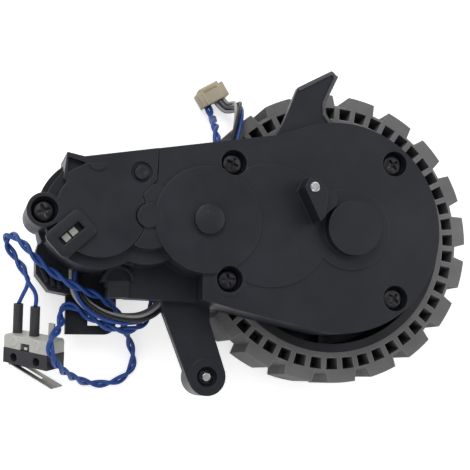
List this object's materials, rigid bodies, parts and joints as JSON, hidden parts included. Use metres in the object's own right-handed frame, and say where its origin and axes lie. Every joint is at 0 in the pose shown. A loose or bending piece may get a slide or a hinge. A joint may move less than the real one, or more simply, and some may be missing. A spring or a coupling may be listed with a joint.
{
  "type": "robot vacuum wheel module",
  "caption": "Drive wheel module: a treaded wheel under a reduction gearbox and its motor, with a pivot arm, a spring lug, and a lever switch and a connector on leads.",
  "frame": {"origin": "on the wheel's axis, in the plane of the wheel's outer face, which the module lies on", "axes": "+Z along the wheel's axis from the wheel towards the gearbox cover; +X from the motor towards the wheel, along the gearbox; +Y across it, away from the pivot arm"},
  "size_m": [0.1092, 0.0764, 0.0356],
  "materials": {
    "tyre": "matt ribbed rubber",
    "wheel_rim": "satin moulded",
    "wheel_bolt": "bright zinc",
    "output_shaft": "ground",
    "gear": "natural acetal",
    "gear_pin": "ground",
    "bush": "sintered bronze",
    "housing": "fine moulded texture",
    "screw": "dark zinc",
    "pin": "polished",
    "motor_can": "nickel plated",
    "motor_bearing": "sintered bronze",
    "motor_end_cap": "moulded",
    "armature": "laminated",
    "commutator": "copper",
    "magnet": "sintered ferrite",
    "motor_pinion": "machined",
    "motor_plate": "moulded",
    "board": "circuit board",
    "contact": "light epoxy",
    "switch_base": "moulded",
    "switch_cover": "moulded",
    "terminal": "tinned",
    "sleeve": "shrunk tube",
    "plunger": "moulded",
    "lever": "stainless spring",
    "connector": "natural nylon",
    "connector_contact": "tinned",
    "lead": "insulated wire",
    "harness": "insulated wires"
  },
  "bodies": {
    "module": {"third_gear_pin": "gear_pin", "second_gear_pin": "gear_pin", "first_gear_pin": "gear_pin", "rear_bush": "bush", "front_bush": "bush", "rear_housing": "housing", "front_cover": "housing", "motor_cap": "housing", "cover_screws": "screw", "spring_pin": "pin", "pivot_pin": "pin", "motor_can": "motor_can", "motor_bearing": "motor_bearing", "motor_end_cap": "motor_end_cap", "motor_magnets": "magnet", "motor_plate": "motor_plate", "motor_screws": "screw", "sensor_board": "board", "sensor_contacts": "contact", "switch_base": "switch_base", "switch_cover": "switch_cover", "switch_terminals": "terminal", "terminal_sleeves": "sleeve", "connector_housing": "connector", "connector_contacts": "connector_contact", "switch_lead": "lead", "motor_harness": "harness"},
    "wheel": {"tyre": "tyre", "wheel_rim": "wheel_rim", "wheel_bolt": "wheel_bolt", "output_shaft": "output_shaft", "output_gear": "gear"},
    "third": {"third_gear": "gear"},
    "second": {"second_gear": "gear"},
    "first": {"first_gear": "gear"},
    "rotor": {"motor_shaft": "gear_pin", "armature": "armature", "commutator": "commutator", "motor_pinion": "motor_pinion", "encoder_magnet": "magnet"},
    "plunger": {"switch_plunger": "plunger"},
    "lever": {"switch_lever": "lever"}
  },
  "joints": [
    {"name": "motor_spin", "type": "hinge", "parent": "module", "child": "rotor", "pos_m": [-0.05566, 0.00198, 0], "axis": [0, 0, 1], "continuous": true},
    {"name": "first_spin", "type": "hinge", "parent": "module", "child": "first", "pos_m": [-0.04547, 0.00149, 0], "axis": [0, 0, 1], "continuous": true},
    {"name": "second_spin", "type": "hinge", "parent": "module", "child": "second", "pos_m": [-0.03247, 0.0011, 0], "axis": [0, 0, 1], "continuous": true},
    {"name": "third_spin", "type": "hinge", "parent": "module", "child": "third", "pos_m": [-0.0184, 0.00029, 0], "axis": [0, 0, 1], "continuous": true},
    {"name": "wheel_spin", "type": "hinge", "parent": "module", "child": "wheel", "pos_m": [0, 0, 0], "axis": [0, 0, 1], "continuous": true},
    {"name": "lever_hinge", "type": "hinge", "parent": "module", "child": "lever", "pos_m": [-0.07142, -0.02924, 0.00257], "axis": [-0.7071, -0.1711, 0.6861], "range_deg": [0, 9], "stiffness_Nm_per_rad": 0.02},
    {"name": "plunger_slide", "type": "slide", "parent": "module", "child": "plunger", "axis": [0, 0.9703, 0.2419], "range_m": [0, 0.00036]}
  ],
  "couplings": [
    {"joint": "first_spin", "follows": "motor_spin", "ratio": -0.30769},
    {"joint": "second_spin", "follows": "motor_spin", "ratio": 0.11336},
    {"joint": "third_spin", "follows": "motor_spin", "ratio": -0.038866},
    {"joint": "wheel_spin", "follows": "motor_spin", "ratio": 0.013718},
    {"joint": "plunger_slide", "follows": "lever_hinge", "m_per_rad": 0.0021}
  ]
}
